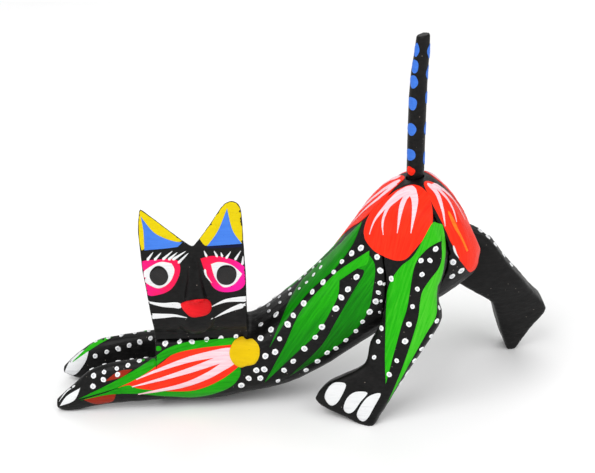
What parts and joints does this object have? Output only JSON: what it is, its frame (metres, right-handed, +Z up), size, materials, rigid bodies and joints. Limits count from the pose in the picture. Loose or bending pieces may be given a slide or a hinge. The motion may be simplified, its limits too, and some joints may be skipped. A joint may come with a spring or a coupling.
{
  "type": "alebrije figure",
  "caption": "Carved and painted wooden cat stretching with its rump raised, glued from a trunk with forelegs, a head, hind legs and a tail that pulls out.",
  "frame": {"origin": "middle of the figure's bounding box, on the surface it stands on", "axes": "+Z up, +X from the cat's paws to its tail end, -Y to the cat's left side, where its face looks"},
  "size_m": [0.1576, 0.0528, 0.1157],
  "materials": {
    "black_paint": "satin",
    "bare_wood": "matte",
    "white_paint": "satin",
    "green_paint": "satin",
    "red_paint": "satin",
    "yellow_paint": "satin",
    "blue_paint": "satin",
    "pink_paint": "satin"
  },
  "bodies": {
    "figure": {"trunk": "black_paint", "head": "black_paint", "left_hind_leg": "black_paint", "right_hind_leg": "black_paint", "neck_dowel": "bare_wood", "left_hip_dowel": "bare_wood", "right_hip_dowel": "bare_wood"},
    "tail": {"tail": "black_paint"}
  },
  "joints": [
    {"name": "tail_pull", "type": "slide", "parent": "figure", "child": "tail", "axis": [0, 0, 1], "range_m": [0, 0.03]}
  ]
}
